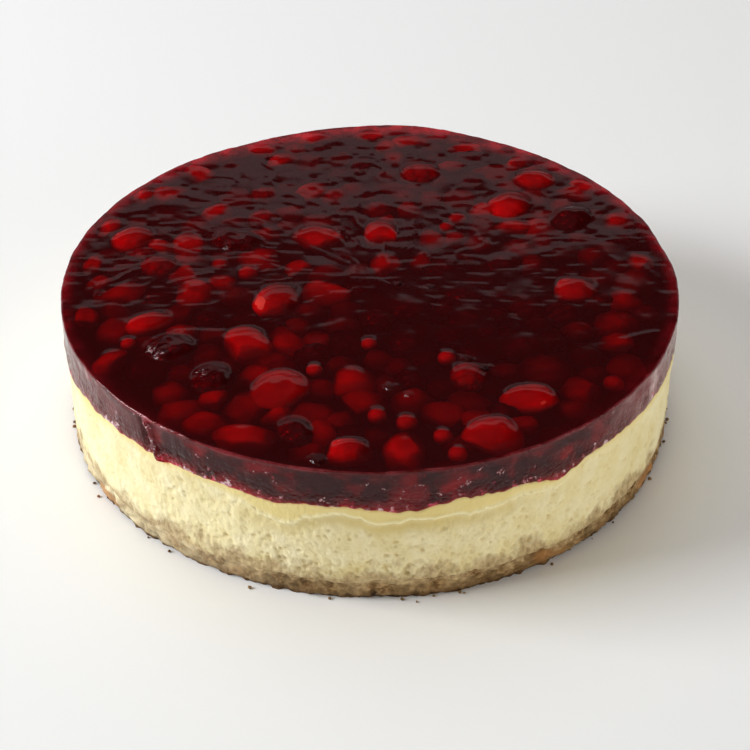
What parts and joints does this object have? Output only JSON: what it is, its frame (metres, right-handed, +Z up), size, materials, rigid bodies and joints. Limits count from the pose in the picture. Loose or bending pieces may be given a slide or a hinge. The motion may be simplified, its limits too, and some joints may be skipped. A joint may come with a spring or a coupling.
{
  "type": "cheesecake",
  "caption": "Whole round cheesecake in layers: biscuit base, cream cheese filling and a thick berry jelly with fruit set in it.",
  "frame": {"origin": "middle of the flat underside of the biscuit base", "axes": "+Z up through the layers; the side that the picture shows is at -Y"},
  "size_m": [0.2521, 0.2523, 0.0644],
  "materials": {
    "biscuit": "dry crumbly baked biscuit, matt",
    "cream_cheese": "pale cream set filling, fine pores, matt",
    "jelly": "deep red clear jelly, wet gloss",
    "strawberry": "red strawberry with small seeds, glazed",
    "bramble": "nearly black berry of round drupelets, glazed",
    "raspberry": "dark red berry of round drupelets, glazed"
  },
  "bodies": {
    "root": {"biscuit_base": "biscuit", "cream_cheese_filling": "cream_cheese", "berry_jelly": "jelly", "strawberry_1": "strawberry", "strawberry_2": "strawberry", "strawberry_3": "strawberry", "strawberry_4": "strawberry", "strawberry_5": "strawberry", "strawberry_6": "strawberry", "strawberry_7": "strawberry", "strawberry_8": "strawberry", "strawberry_9": "strawberry", "strawberry_10": "strawberry", "strawberry_11": "strawberry", "strawberry_12": "strawberry", "strawberry_13": "strawberry", "bramble_1": "bramble", "bramble_2": "bramble", "bramble_3": "bramble", "bramble_4": "bramble", "bramble_5": "bramble", "raspberry_1": "raspberry", "raspberry_2": "raspberry", "raspberry_3": "raspberry"}
  },
  "joints": []
}
